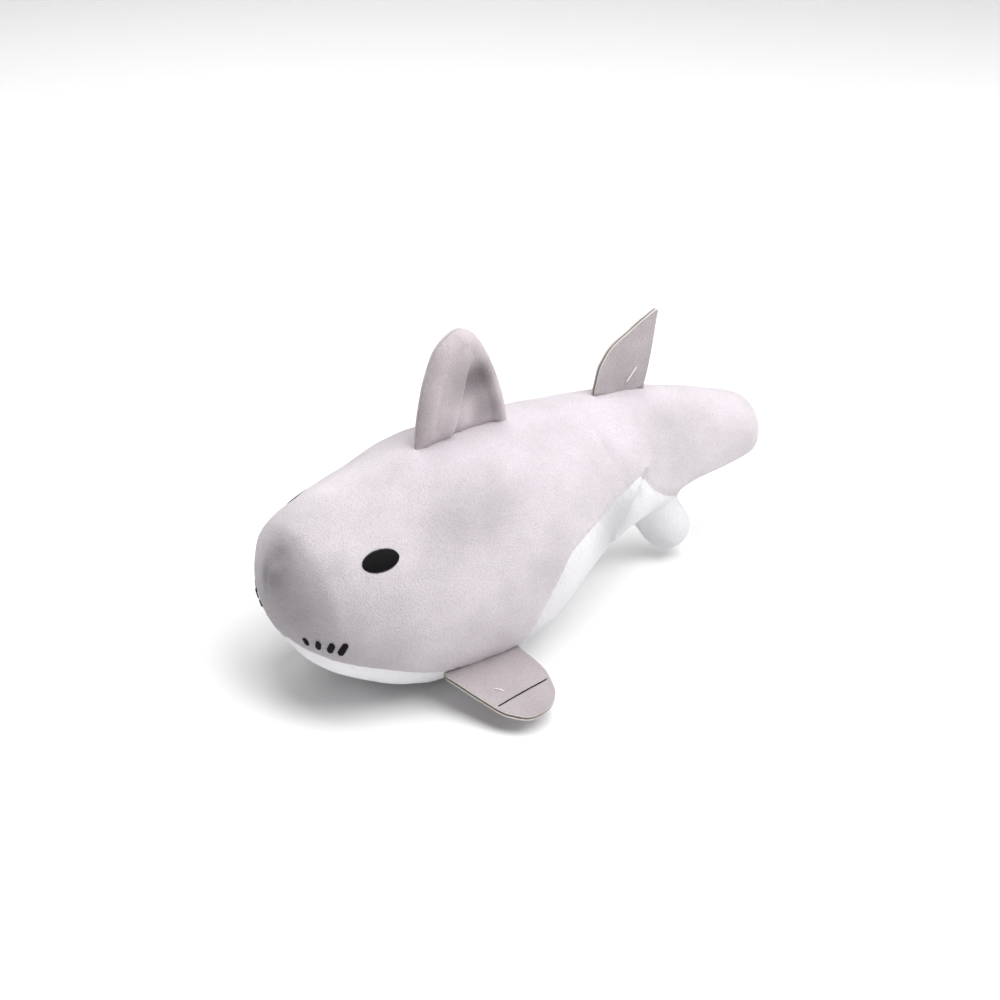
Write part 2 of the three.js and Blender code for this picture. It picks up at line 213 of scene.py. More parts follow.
def noise_at(points, size, seed):
    """Smooth noise from -1 to 1, one value a point."""
    shift = Vector([seed * step for step in NOISE_SHIFT])
    return np.array([noise.noise(Vector(p) / size + shift) for p in points])


# ------------------------------------------------------------- materials


def node_material(name):
    material = bpy.data.materials.new(name)
    material.use_nodes = True
    tree = material.node_tree
    tree.nodes.clear()
    out = tree.nodes.new("ShaderNodeOutputMaterial")
    shader = tree.nodes.new("ShaderNodeBsdfPrincipled")
    tree.links.new(shader.outputs[0], out.inputs[0])
    place = tree.nodes.new("ShaderNodeTexCoord").outputs["Object"]
    return material, tree, shader, place


def noise_node(tree, place, size, detail, rough, stretch=None):
    node = tree.nodes.new("ShaderNodeTexNoise")
    node.inputs["Scale"].default_value = 1 / size
    node.inputs["Detail"].default_value = detail
    node.inputs["Roughness"].default_value = rough
    if stretch:
        mapping = tree.nodes.new("ShaderNodeMapping")
        mapping.inputs["Scale"].default_value = stretch
        tree.links.new(place, mapping.inputs[0])
        place = mapping.outputs[0]
    tree.links.new(place, node.inputs["Vector"])
    return node.outputs["Fac"]


def ramp(tree, source, stops):
    node = tree.nodes.new("ShaderNodeValToRGB")
    node.color_ramp.elements[0].position = stops[0][0]
    node.color_ramp.elements[0].color = (*stops[0][1], 1)
    node.color_ramp.elements[1].position = stops[-1][0]
    node.color_ramp.elements[1].color = (*stops[-1][1], 1)
    for position, color in stops[1:-1]:
        element = node.color_ramp.elements.new(position)
        element.color = (*color, 1)
    tree.links.new(source, node.inputs[0])
    return node.outputs[0]


def darkened(tree, color, pattern, stops, share):
    """The colour, darker by a share where the pattern is low."""
    low, high = stops
    node = tree.nodes.new("ShaderNodeMix")
    node.data_type = "RGBA"
    node.blend_type = "MULTIPLY"
    node.inputs["Factor"].default_value = 1.0
    tree.links.new(color, node.inputs["A"])
    shade = ramp(tree, pattern, [(low, (1 - share,) * 3), (high, (1.0,) * 3)])
    tree.links.new(shade, node.inputs["B"])
    return node.outputs["Result"]


def bumped(tree, shader, layers):
    """Chain of bump nodes from (height, distance, strength) layers."""
    last = None
    for height, distance, strength in layers:
        bump = tree.nodes.new("ShaderNodeBump")
        bump.inputs["Distance"].default_value = distance
        bump.inputs["Strength"].default_value = strength
        tree.links.new(height, bump.inputs["Height"])
        if last is not None:
            tree.links.new(last, bump.inputs["Normal"])
        last = bump.outputs[0]
    tree.links.new(last, shader.inputs["Normal"])


def tones(base, spread):
    return [tuple(min(c * (1 + k * spread), 1.0) for c in base) for k in (-1, 0, 1)]


def painted_light_spots(tree, place, color, painted_spots):
    """Darkens or lightens soft round areas: painted shade where a gain is below 1, painted light where it
    is above 1.
    """
    for centre, radius, gain in painted_spots:
        away = tree.nodes.new("ShaderNodeVectorMath")
        away.operation = "DISTANCE"
        tree.links.new(place, away.inputs[0])
        away.inputs[1].default_value = [c * MM for c in centre]
        share = tree.nodes.new("ShaderNodeMapRange")
        share.interpolation_type = "SMOOTHERSTEP"
        share.inputs["From Min"].default_value = 0.0
        share.inputs["From Max"].default_value = radius * MM
        share.inputs["To Min"].default_value = gain
        share.inputs["To Max"].default_value = 1.0
        tree.links.new(away.outputs["Value"], share.inputs["Value"])
        scaled = tree.nodes.new("ShaderNodeVectorMath")
        scaled.operation = "SCALE"
        tree.links.new(color, scaled.inputs[0])
        tree.links.new(share.outputs["Result"], scaled.inputs["Scale"])
        color = scaled.outputs["Vector"]
    return color


PATCH_SIZE, PATCH_DETAIL, PATCH_ROUGH = 34 * MM, 1.5, 0.5
PATCH_STOPS = (0.3, 0.5, 0.72)
STREAK_SIZE, STREAK_DETAIL, STREAK_ROUGH = 5 * MM, 2.0, 0.6
STREAK_STRETCH = (1.0, 0.45, 1.0)
STREAK_STOPS = (0.3, 0.7)
STREAK_SHARE = 0.5
STREAK_BUMP = (1.0 * MM, 0.3)
TUFT_SIZE, TUFT_DETAIL, TUFT_ROUGH = 1.1 * MM, 2.0, 0.7
TUFT_STOPS = (0.34, 0.62)
TUFT_BUMP = (0.9 * MM, 0.8)
PLUSH_ROUGHNESS = 0.95
PLUSH_SPECULAR = 0.15
SHEEN_ROUGHNESS = 0.45
SHEEN_TINT = (1.0, 0.98, 1.0, 1.0)
STRAND_SIZE, STRAND_DETAIL, STRAND_ROUGH = 0.5 * MM, 3.0, 0.6
STRAND_STOPS = (0.3, 0.5, 0.75)
STRAND_SPREAD = 0.35
STRAND_BUMP = (0.15 * MM, 0.5)
THREAD_SPECULAR = 0.12


def plush(name, base, nap, grain, sheen, painted_spots=()):
    """Short-pile plush: patches where the nap lies differently, a fine tufted grain, and soft spots of
    painted light and shade.
    """
    material, tree, shader, place = node_material(name)
    patches = noise_node(tree, place, PATCH_SIZE, PATCH_DETAIL, PATCH_ROUGH)
    color = ramp(tree, patches, list(zip(PATCH_STOPS, tones(base, nap))))
    streaks = noise_node(tree, place, STREAK_SIZE, STREAK_DETAIL, STREAK_ROUGH, STREAK_STRETCH)
    color = darkened(tree, color, streaks, STREAK_STOPS, nap * STREAK_SHARE)
    tufts = noise_node(tree, place, TUFT_SIZE, TUFT_DETAIL, TUFT_ROUGH)
    color = darkened(tree, color, tufts, TUFT_STOPS, grain)
    # Soft round spots of painted light and painted shade laid over the plush colour
    color = painted_light_spots(tree, place, color, painted_spots)
    tree.links.new(color, shader.inputs["Base Color"])
    shader.inputs["Roughness"].default_value = PLUSH_ROUGHNESS
    shader.inputs["Specular IOR Level"].default_value = PLUSH_SPECULAR
    shader.inputs["Sheen Weight"].default_value = sheen
    shader.inputs["Sheen Roughness"].default_value = SHEEN_ROUGHNESS
    shader.inputs["Sheen Tint"].default_value = SHEEN_TINT
    bumped(tree, shader, [(streaks, *STREAK_BUMP), (tufts, *TUFT_BUMP)])
    return material


def thread(name, base, rough, sheen):
    """Twisted embroidery or sewing thread."""
    material, tree, shader, place = node_material(name)
    strands = noise_node(tree, place, STRAND_SIZE, STRAND_DETAIL, STRAND_ROUGH)
    color = ramp(tree, strands, list(zip(STRAND_STOPS, tones(base, STRAND_SPREAD))))
    tree.links.new(color, shader.inputs["Base Color"])
    shader.inputs["Roughness"].default_value = rough
    shader.inputs["Specular IOR Level"].default_value = THREAD_SPECULAR
    shader.inputs["Sheen Weight"].default_value = sheen
    bumped(tree, shader, [(strands, *STRAND_BUMP)])
    return material


# Colours, and spots of painted light and shade given as (centre in mm, radius in mm, how much lighter or
# darker)
GREY = (0.60, 0.556, 0.592)
WHITE = (0.72, 0.71, 0.735)
FIN = (0.42, 0.376, 0.395)
# The dorsal fin's colour is the fin fabric painted lighter, as painted light on the fin that stands up
# into the lamps
DORSAL_PAINTED_LIGHTER = (0.535, 0.477, 0.503)
EDGE = (0.72, 0.68, 0.62)
BLACK = (0.004, 0.004, 0.005)
PALE = (0.74, 0.70, 0.72)
FILL = (0.88, 0.87, 0.85)
# Painted shade on the grey plush: darker on the face front, the cheeks, the forward flank and the rear
# back, which face away from the lamps. One painted highlight on top of the head.
GREY_PAINTED_SHADE_AND_LIGHT = [
    ((4, -196, 108), 34, 0.56), ((14, -200, 68), 78, 0.62), ((64, -168, 48), 56, 0.80),
    ((-16, -140, 140), 46, 1.14), ((55, -75, 128), 50, 0.80), ((30, 96, 118), 42, 0.84),
    ((52, -100, 118), 26, 0.90), ((70, -40, 90), 40, 0.94),
]
# Painted light on the white plush under the chin, and painted shade on the rear flanks and under the tail
# lobe
WHITE_PAINTED_SHADE_AND_LIGHT = [
    ((35, -172, 25), 95, 1.24), ((58, 34, 84), 42, 0.68),
    ((-58, 34, 84), 42, 0.68), ((0, 130, 8), 40, 0.95),
]
# Painted shade on the dorsal fin, centred on the hollow behind the crease of its left face
DORSAL_PAINTED_SHADE = [((3, -50, 192), 30, 0.58), ((2, -41, 190), 21, 0.58), ((2, -34, 168), 18, 0.58)]
GREY_PLUSH = plush("grey_plush_nap_and_painted_shade", GREY, nap=0.075, grain=0.15, sheen=0.35, painted_spots=GREY_PAINTED_SHADE_AND_LIGHT)
WHITE_PLUSH = plush("white_plush_nap_and_painted_light", WHITE, nap=0.03, grain=0.09, sheen=0.3, painted_spots=WHITE_PAINTED_SHADE_AND_LIGHT)
FIN_PLUSH = plush("fin_plush_nap", FIN, nap=0.07, grain=0.12, sheen=0.3)
DORSAL_PLUSH = plush("dorsal_plush_nap_and_painted_light", DORSAL_PAINTED_LIGHTER, nap=0.07, grain=0.13, sheen=0.3, painted_spots=DORSAL_PAINTED_SHADE)
CUT_EDGE = plush("fin_cut_edge", EDGE, nap=0.14, grain=0.2, sheen=0.1)
SATIN = thread("black_satin_thread", BLACK, rough=0.5, sheen=0.0)
SEWING = thread("pale_sewing_thread", PALE, rough=0.7, sheen=0.2)
FIBRE = plush("loose_fibre", FILL, nap=0.05, grain=0.1, sheen=0.2)


def paint(obj, *materials):
    obj.data.materials.clear()
    for material in materials:
        obj.data.materials.append(material)


# ------------------------------------------------------ camera and light

IMAGE_PIXELS = 1000
LENS_PIXELS = 1866
SENSOR_WIDTH = 36
AZIMUTH, ELEVATION = math.radians(53.5), math.radians(29.5)
CAMERA_DISTANCE = 1.2595
CAMERA_TARGET = Vector((0, 0, 0.075))
CAMERA_SHIFT = (-0.0264, 0.0134)
LIGHT_SIZE = 1.3
LIGHT_TARGET = Vector((0, 0, 0.07))
LIGHTS = [
    ("overhead", (0.0, 0.0, 2.1), 23),
    ("key", (1.0, 0.3, 1.8), 27),
    ("rim_right", (1.2, 1.2, 1.2), 10),
    ("rim_left", (-1.4, 0.2, 1.5), 11),
    ("rear", (0.2, 1.9, 0.9), 4),
]
WORLD_COLOR = (1, 1, 1, 1)
WORLD_STRENGTH = 0.2
STAGE_FLAT = 2.3
STAGE_CURVE = 1.2
STAGE_WALL = 3.2
STAGE_CURVE_STEPS = 12
STAGE_ROUND = 64
STAGE_COLOR = (0.86, 0.86, 0.86, 1)
STAGE_ROUGHNESS = 0.9

back = Vector(
    (
        math.sin(AZIMUTH) * math.cos(ELEVATION),
        -math.cos(AZIMUTH) * math.cos(ELEVATION),
        math.sin(ELEVATION),
    )
)
camera_data = bpy.data.cameras.new("camera")
camera_data.sensor_width = SENSOR_WIDTH
camera_data.lens = LENS_PIXELS / IMAGE_PIXELS * SENSOR_WIDTH
camera_data.shift_x, camera_data.shift_y = CAMERA_SHIFT
camera = new_object("camera", camera_data)
camera.location = CAMERA_TARGET + back * CAMERA_DISTANCE
camera.rotation_mode = "QUATERNION"
camera.rotation_quaternion = (-back).to_track_quat("-Z", "Y")
bpy.context.scene.camera = camera

for light_name, light_place, power in LIGHTS:
    light_data = bpy.data.lights.new(light_name, "AREA")
    light_data.shape = "DISK"
    light_data.size = LIGHT_SIZE
    light_data.energy = power
    lamp = new_object(light_name, light_data)
    lamp.location = light_place
    lamp.rotation_mode = "QUATERNION"
    lamp.rotation_quaternion = (Vector(light_place) - LIGHT_TARGET).to_track_quat("Z", "Y")
world = bpy.data.worlds.new("studio")
world.use_nodes = True
world_light = world.node_tree.nodes["Background"]
world_light.inputs["Color"].default_value = WORLD_COLOR
world_light.inputs["Strength"].default_value = WORLD_STRENGTH
bpy.context.scene.world = world
bpy.context.scene.view_settings.view_transform = "Standard"


def bowl():
    """Points and faces of a round floor that curves up into a wall."""
    rings = [(STAGE_FLAT, 0.0)]
    for angle in np.linspace(0, HALF_TURN / 2, STAGE_CURVE_STEPS + 1)[1:]:
        rings.append((STAGE_FLAT + STAGE_CURVE * math.sin(angle), STAGE_CURVE * (1 - math.cos(angle))))
    rings.append((STAGE_FLAT + STAGE_CURVE, STAGE_WALL))
    verts, faces = [(0, 0, 0)], []
    for radius, height in rings:
        for k in range(STAGE_ROUND):
            angle = 2 * HALF_TURN * k / STAGE_ROUND
            verts.append((radius * math.cos(angle), radius * math.sin(angle), height))
    for k in range(STAGE_ROUND):
        m = (k + 1) % STAGE_ROUND
        faces.append((0, 1 + k, 1 + m))
        for r in range(len(rings) - 1):
            a = 1 + r * STAGE_ROUND
            faces.append((a + k, a + STAGE_ROUND + k, a + STAGE_ROUND + m, a + m))
    return verts, faces


floor = mesh_object("floor", *bowl())
shade_smooth(floor)
floor_material, _, floor_shader, _ = node_material("studio_floor")
floor_shader.inputs["Base Color"].default_value = STAGE_COLOR
floor_shader.inputs["Roughness"].default_value = STAGE_ROUGHNESS
paint(floor, floor_material)

# ------------------------------------------------------------ body shape

SKIN_NODES = [
    "side_panel_left", "side_panel_right", "belly_panel", "body_stuffing",
    "tail_panel_left", "tail_panel_right", "tail_lobe_left", "tail_lobe_right", "tail_stuffing",
]
VOXEL = 4 * MM
SHAPE_RELAX = 8
START_INSET = 1.3 * MM
SWELL_CAP = 3.0 * MM
SWELL_RELAX = 2
FRAMES = 20
HELD_SEAM = 3.0 * MM
HELD_CENTRE = 2.5 * MM
START_FLOOR = 0.4 * MM
FLOOR_LEVEL = 0.2 * MM
REST_HEIGHT = 1.2 * MM
CLOTH_SETTINGS = {
    "quality": 5, "mass": 0.3, "tension_stiffness": 12, "compression_stiffness": 12,
    "shear_stiffness": 5, "bending_stiffness": 0.6, "use_pressure": True, "uniform_pressure_force": 4,
}
# The grey-to-white seam as (share of the length from the nose, share of the body's height)
SEAM_ROWS = [
    (-0.05, 0.32), (0.04, 0.325), (0.085, 0.297), (0.15, 0.235), (0.205, 0.186), (0.27, 0.155),
    (0.355, 0.158), (0.4, 0.36), (0.4625, 0.545), (0.5375, 0.6), (0.615, 0.652), (0.65, 0.672),
    (0.69, 0.56), (0.725, 0.485), (0.8125, 0.335), (0.87, 0.24),
]
SEAM_END_Y = NOSE_Y + SEAM_ROWS[-1][0] * LENGTH
SEAM_LEAD = 5 * MM
SEAM_SAMPLES = 400
CHUNK = 4000


def seam_height(y):
    """Height of the grey-to-white seam at y."""
    return monotone(SEAM_ROWS, (y - NOSE_Y) / LENGTH) * BODY_HEIGHT


SEAM_Y = np.linspace(NOSE_Y - SEAM_LEAD, SEAM_END_Y, SEAM_SAMPLES)
SEAM_LINE = np.column_stack([SEAM_Y, seam_height(SEAM_Y)])


def seam_distance(points):
    """Distance in side view from the grey-to-white seam, positive on the grey side."""
    yz = points[:, 1:]
    out = np.empty(len(yz))
    for start in range(0, len(yz), CHUNK):
        part = yz[start : start + CHUNK]
        out[start : start + CHUNK] = np.sqrt(((part[:, None] - SEAM_LINE[None]) ** 2).sum(2).min(1))
    grey = (points[:, 2] > seam_height(points[:, 1])) | (points[:, 1] > SEAM_END_Y)
    return np.where(grey, out, -out)


def body_shape():
    """One closed skin round all the soft CAD solids of body and tail."""
    bm = bmesh.new()
    for name in SKIN_NODES:
        bm.from_mesh(NODES[name].data)
    mesh = bpy.data.meshes.new("shape")
    bm.to_mesh(mesh)
    bm.free()
    obj = new_object("shape", mesh)
    remesh = obj.modifiers.new("remesh", "REMESH")
    remesh.mode = "VOXEL"
    remesh.voxel_size = VOXEL
    apply_modifiers(obj)
    relax(obj.data, SHAPE_RELAX)
    return obj


def swell(obj):
    """Inflates the skin with its seams held, so it crowns between them."""
    start = points_of(obj.data) - normals_of(obj.data) * START_INSET
    start[:, 2] = np.maximum(start[:, 2], START_FLOOR)
    set_points(obj.data, start)
    seam = np.abs(seam_distance(start)) < HELD_SEAM
    centre = (np.abs(start[:, 0]) < HELD_CENTRE) & (seam_distance(start) > 0)
    group = obj.vertex_groups.new(name="held")
    group.add([int(i) for i in np.flatnonzero(seam | centre)], 1.0, "REPLACE")
    cloth = obj.modifiers.new("cloth", "CLOTH")
    for setting, value in CLOTH_SETTINGS.items():
        setattr(cloth.settings, setting, value)
    cloth.settings.effector_weights.gravity = 0
    cloth.settings.vertex_group_mass = "held"
    cloth.point_cache.frame_start = 1
    cloth.point_cache.frame_end = FRAMES
    for number in range(1, FRAMES + 1):
        bpy.context.scene.frame_set(number)
    apply_modifiers(obj)
    moved = points_of(obj.data) - start
    far = np.linalg.norm(moved, axis=1)
    scale = SWELL_CAP * np.tanh(far / SWELL_CAP) / np.maximum(far, TINY)
    set_points(obj.data, start + moved * scale[:, None])
    relax(obj.data, SWELL_RELAX)
    obj.vertex_groups.clear()
    bpy.context.scene.frame_set(1)


def line_distance(points, a, b):
    """Signed distance in side view from the line a-b and how far along it, from 0 to 1."""
    a, b = np.array(a), np.array(b)
    along = b - a
    t = ((points[:, 1:] - a) @ along) / (along @ along)
    near = a + np.clip(t, 0, 1)[:, None] * along
    side = np.sign(along[0] * (points[:, 2] - a[1]) - along[1] * (points[:, 1] - a[0]))
    return side * np.linalg.norm(points[:, 1:] - near, axis=1), t


# Lines on the flank are given as (y, z) from their top to their low end, and a band of
# shares along a line says where its effect starts, is full, begins to fade and is gone
FLANK_FROM = 12 * MM
FOLD_TOP = (67 * MM, 103 * MM)
FOLD_LOW = (36 * MM, 74 * MM)
FOLD_BAND = (-0.4, 0.15, 1.0, 1.7)
FOLD_DEPTH = 4.5 * MM
FOLD_REACH = 12 * MM
FOLD_LIP = 2.4 * MM
RIDGE_HEIGHT, RIDGE_AWAY, RIDGE_WIDTH = 1.8 * MM, 5.5 * MM, 3.6 * MM
DENT_TOP = (33 * MM, 141 * MM)
DENT_LOW = (36 * MM, 124 * MM)
DENT_BAND = (-0.3, 0.2, 0.8, 1.3)
DENT_DEPTH, DENT_WIDTH = 0.9 * MM, 2.6 * MM
SNOUT_PUCKER = (2 * MM, -194 * MM, 111 * MM)
PUCKER_DEPTH, PUCKER_WIDTH = 2.6 * MM, 7 * MM
# Unevenness of the filled skin as (height, size, seed)
SKIN_WAVES = ((0.7 * MM, 38 * MM, 1), (0.35 * MM, 13 * MM, 2))


def bell(distance, width):
    return np.exp(-((distance / width) ** 2))


def band(t, low, full, fading, gone):
    return smooth_step(low, full, t) * (1 - smooth_step(fading, gone, t))


def sculpt(obj):
    """Presses in the fold, the dent and the pinched snout, and makes the skin slightly uneven."""
    mesh = obj.data
    p = points_of(mesh)
    flank = np.abs(p[:, 0]) > FLANK_FROM
    push = np.zeros(len(p))
    behind, t = line_distance(p, FOLD_TOP, FOLD_LOW)
    valley = np.where(behind > 0, bell(behind, FOLD_REACH), bell(behind, FOLD_LIP))
    ridge = bell(behind + RIDGE_AWAY, RIDGE_WIDTH)
    push += np.where(flank, band(t, *FOLD_BAND) * (RIDGE_HEIGHT * ridge - FOLD_DEPTH * valley), 0)
    away, t = line_distance(p, DENT_TOP, DENT_LOW)
    push -= np.where(flank, band(t, *DENT_BAND) * DENT_DEPTH * bell(away, DENT_WIDTH), 0)
    away = np.linalg.norm(p - np.array(SNOUT_PUCKER), axis=1)
    push -= PUCKER_DEPTH * bell(away, PUCKER_WIDTH)
    for height, size, seed in SKIN_WAVES:
        push += height * noise_at(p, size, seed)
    moved = p + normals_of(mesh) * push[:, None]
    lowest = np.where(p[:, 2] < REST_HEIGHT, p[:, 2], moved[:, 2])
    moved[:, 2] = np.maximum(lowest, FLOOR_LEVEL)
    set_points(mesh, moved)


shape = body_shape()
swell(shape)
subdivide = shape.modifiers.new("subdivide", "SUBSURF")
subdivide.levels = 1
subdivide.render_levels = 1
apply_modifiers(shape)
sculpt(shape)

# ---------------------------------------------------------- body panels

CLOTH = 1.6 * MM
VALLEY_DEPTH = 0.8 * MM
VALLEY_WIDTH = 2.6 * MM
FOLD_OVERLAP = 2.4 * MM
CENTRE_DEPTH = 0.12 * MM
DART_DEPTH = 0.9 * MM
CENTRE_BAND = (1.5 * MM, 5 * MM)
DART_Y = (NOSE_Y + 16 * MM, NOSE_Y + 4 * MM)
DART_Z = (86 * MM, 96 * MM)
FOLD_SEAM_BAND = (2 * MM, 7 * MM)
FOLD_SEAM_TOP = 1 * MM
GATHER = 0.25 * MM
GATHER_PITCH = 6.5 * MM
GATHER_SLANT = 0.7
GATHER_DRIFT, GATHER_DRIFT_SIZE, GATHER_SEED = 1.2, 20 * MM, 5
GATHER_AWAY, GATHER_WIDTH = 3.0 * MM, 3.2 * MM
GATHER_LEFT_AT_CENTRE = 0.7
SEAM_END_SLOPE = 20
CUT_SNAP = 1e-6
SHORT_EDGE = 0.15 * MM
SHARP_ANGLE = math.radians(58)
TAIL_BEND = ((0, 8 * MM, 0.1), (0, 86 * MM, 0.1))
FILLING_INSET = 6.5 * MM
FILLING_LUMPS = (0.8 * MM, 9 * MM, 9)
FILLING_KEPT = 0.25
# The seam between belly and tail lobes as (height, place along the body) in mm
FOLD_ROWS = [
    (0.0, 24.0), (40.0, 24.0), (58.0, 27.0), (74.0, 36.0), (88.0, 51.0), (103.0, 67.0), (130.0, 96.0),
]


def fold_place(z):
    """How far back the seam between belly and tail lobe lies at a height."""
    return monotone(FOLD_ROWS, z / MM) * MM


def bend_and_cut(bm, shift, axis, outer):
    """Cuts along a curved sheet: shifts the mesh so the sheet is flat, cuts, and shifts back."""
    for vert in bm.verts:
        vert.co[axis] -= shift(vert.co)
    bmesh.ops.bisect_plane(
        bm, geom=bm.verts[:] + bm.edges[:] + bm.faces[:], dist=CUT_SNAP,
        plane_co=(0, 0, 0), plane_no=outer, clear_outer=True,
    )
    for vert in bm.verts:
        vert.co[axis] += shift(vert.co)


def seam_shift(co):
    """Height of the grey-to-white seam, which drops away steeply past its end."""
    past = max(0.0, co.y - SEAM_END_Y)
    return float(seam_height(min(co.y, SEAM_END_Y))) - SEAM_END_SLOPE * past


def fold_shift(co):
    return float(fold_place(co.z))


def cut_panel(name, half=None, grey=True, rear=None):
    """Copies the body shape and keeps one cloth panel of it: half is 1 for left and -1 for right."""
    bm = bmesh.new()
    bm.from_mesh(shape.data)
    if half is not None:
        bend_and_cut(bm, lambda co: 0.0, 0, (-half, 0, 0))
    bend_and_cut(bm, seam_shift, 2, (0, 0, -1) if grey else (0, 0, 1))
    if rear is not None:
        bend_and_cut(bm, fold_shift, 1, (0, -1, 0) if rear else (0, 1, 0))
    bmesh.ops.dissolve_degenerate(bm, dist=SHORT_EDGE, edges=bm.edges[:])
    loose = [v for v in bm.verts if not v.link_faces]
    bmesh.ops.delete(bm, geom=loose, context="VERTS")
    mesh = bpy.data.meshes.new(name)
    bm.to_mesh(mesh)
    bm.free()
    return new_object(name, mesh)


def border_of(mesh):
    """Points on the open edge of a panel, with points between them."""
    count = {}
    for poly in mesh.polygons:
        for key in poly.edge_keys:
            count[key] = count.get(key, 0) + 1
    rim = np.array([key for key, uses in count.items() if uses == 1])
    p = points_of(mesh)
    a, b = p[rim[:, 0]], p[rim[:, 1]]
    return np.concatenate([a, b, (a + b) / 2])


def sew_edges(obj, fold_depth=VALLEY_DEPTH):
    """Rolls a panel's edge in to its seam, with small gathers where the stitches pull."""
    mesh = obj.data
    p = points_of(mesh)
    n = normals_of(mesh)
    rim = border_of(mesh)
    tree = KDTree(len(rim))
    for i, point in enumerate(rim):
        tree.insert(point, i)
    tree.balance()
    found = [tree.find(q) for q in p]
    d = np.array([f[2] for f in found])
    near = np.array([f[0] for f in found])
    centre_seam = 1 - smooth_step(*CENTRE_BAND, np.abs(near[:, 0]))
    dart = smooth_step(*DART_Y, near[:, 1]) * smooth_step(*DART_Z, near[:, 2])
    centre_depth = CENTRE_DEPTH + (DART_DEPTH - CENTRE_DEPTH) * dart
    below_seam = near[:, 2] < seam_height(near[:, 1]) + FOLD_SEAM_TOP
    off_fold = np.abs(near[:, 1] - fold_place(near[:, 2]))
    on_fold = (1 - smooth_step(*FOLD_SEAM_BAND, off_fold)) * below_seam
    depth = VALLEY_DEPTH + (fold_depth - VALLEY_DEPTH) * on_fold
    depth = depth * (1 - centre_seam) + centre_depth * centre_seam
    roll = bell(d, VALLEY_WIDTH)
    drift = GATHER_DRIFT * noise_at(p, GATHER_DRIFT_SIZE, GATHER_SEED)
    run = (p[:, 1] + GATHER_SLANT * p[:, 2]) / GATHER_PITCH + drift
    gathers = GATHER * np.sin(2 * HALF_TURN * run) * bell(d - GATHER_AWAY, GATHER_WIDTH)
    gathers = gathers * (1 - GATHER_LEFT_AT_CENTRE * centre_seam)
    moved = p - n * (depth * roll)[:, None] + n * gathers[:, None]
    moved[:, 2] = np.maximum(moved[:, 2], FLOOR_LEVEL)
    set_points(mesh, moved)


def thicken(obj, thickness=CLOTH):
    solid = obj.modifiers.new("cloth_thickness", "SOLIDIFY")
    solid.thickness = thickness
    solid.offset = -1
    solid.use_even_offset = False
    apply_modifiers(obj)
    shade_smooth(obj)
    obj.data.set_sharp_from_angle(angle=SHARP_ANGLE)


def across_tail(obj):
    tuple(TAIL_BEND[0])
    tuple(TAIL_BEND[1])
    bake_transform(obj)


def finish_panel(panel, material, slot, *replaced):
    thicken(panel)
    paint(panel, material)
    across_tail(panel)
    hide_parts(*replaced)


for side, half in (("left", 1), ("right", -1)):
    panel = cut_panel(f"grey_panel_{side}", half)
    sew_edges(panel)
    finish_panel(panel, GREY_PLUSH, "grey_plush", f"side_panel_{side}", f"tail_panel_{side}")
    lobe = cut_panel(f"lobe_panel_{side}", half, grey=False, rear=True)
    sew_edges(lobe, FOLD_OVERLAP)
    finish_panel(lobe, WHITE_PLUSH, "white_plush", f"tail_lobe_{side}")
under = cut_panel("belly_cloth", grey=False, rear=False)
sew_edges(under)
finish_panel(under, WHITE_PLUSH, "white_plush", "belly_panel")

# The filling is kept well inside the cloth
filling = new_object("fibre_filling", shape.data.copy())
filling_normals = normals_of(filling.data)
filling_points = points_of(filling.data) - filling_normals * FILLING_INSET
lump_height, lump_size, lump_seed = FILLING_LUMPS
lumps = lump_height * noise_at(filling_points, lump_size, lump_seed)
filling_points += filling_normals * lumps[:, None]
set_points(filling.data, filling_points)
decimate = filling.modifiers.new("fewer", "DECIMATE")
decimate.ratio = FILLING_KEPT
apply_modifiers(filling)
shade_smooth(filling)
paint(filling, FIBRE)
across_tail(filling)
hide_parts("body_stuffing", "tail_stuffing")

SKIN_TREE = bvh_of(bpy.data.objects["grey_panel_left"].data)
bpy.data.objects.remove(shape)

# ------------------------------------------------------------ embroidery


TUBE_END = 0.35
SEARCH_OUT = 12 * MM
STITCH_PITCH = 0.42 * MM
STITCH_RADIUS = 0.62
STITCH_FLAT = 0.8
STITCH_SIDES = 6
STITCH_STEPS = 8
STITCH_SLANT = 0.1
SHORTEST_STITCH = 0.4 * MM
STITCH_JITTER = 0.12
# Height of a stitch over the cloth in mm: at its ends, and how much more in its middle
STITCH_LIFT, STITCH_CROWN = 0.15, 0.75
CROWN_AT_EDGE, CROWN_MARGIN, LEAST_ROUNDING = 0.3, 0.001 * MM, 0.05
EYE_HALF_LENGTH, EYE_HALF_HEIGHT = 11.7 * MM, 7.3 * MM
EYE_TURN = math.radians(7)
MOUTH_HALF_WIDTH = 2.15 * MM
# Mouth stitches from the snout outwards as (length in mm, lean in degrees)
MOUTH = [(5.6, -14), (7.0, 18), (8.5, 26), (10.5, 28)]


def tube(path, radius, sides, flat=1.0, up=None):
    """Vertices and faces of a closed tube along points, with narrower ends."""
    path = [Vector(p) for p in path]
    verts, faces = [], []
    for i, p in enumerate(path):
        ahead = (path[min(i + 1, len(path) - 1)] - path[max(i - 1, 0)]).normalized()
        top = Vector(up[i]) if up is not None else Vector((0, 0, 1))
        across = ahead.cross(top).normalized()
        rise = across.cross(ahead).normalized()
        narrow = TUBE_END if i in (0, len(path) - 1) else 1.0
        for k in range(sides):
            angle = 2 * HALF_TURN * k / sides
            offset = across * math.cos(angle) + rise * math.sin(angle) * flat
            verts.append(p + offset * radius * narrow)
    for i in range(len(path) - 1):
        for k in range(sides):
            m = (k + 1) % sides
            faces.append((i * sides + k, i * sides + m, (i + 1) * sides + m, (i + 1) * sides + k))
    last = (len(path) - 1) * sides
    faces.append(tuple(range(sides))[::-1])
    faces.append(tuple(last + k for k in range(sides)))
    return verts, faces


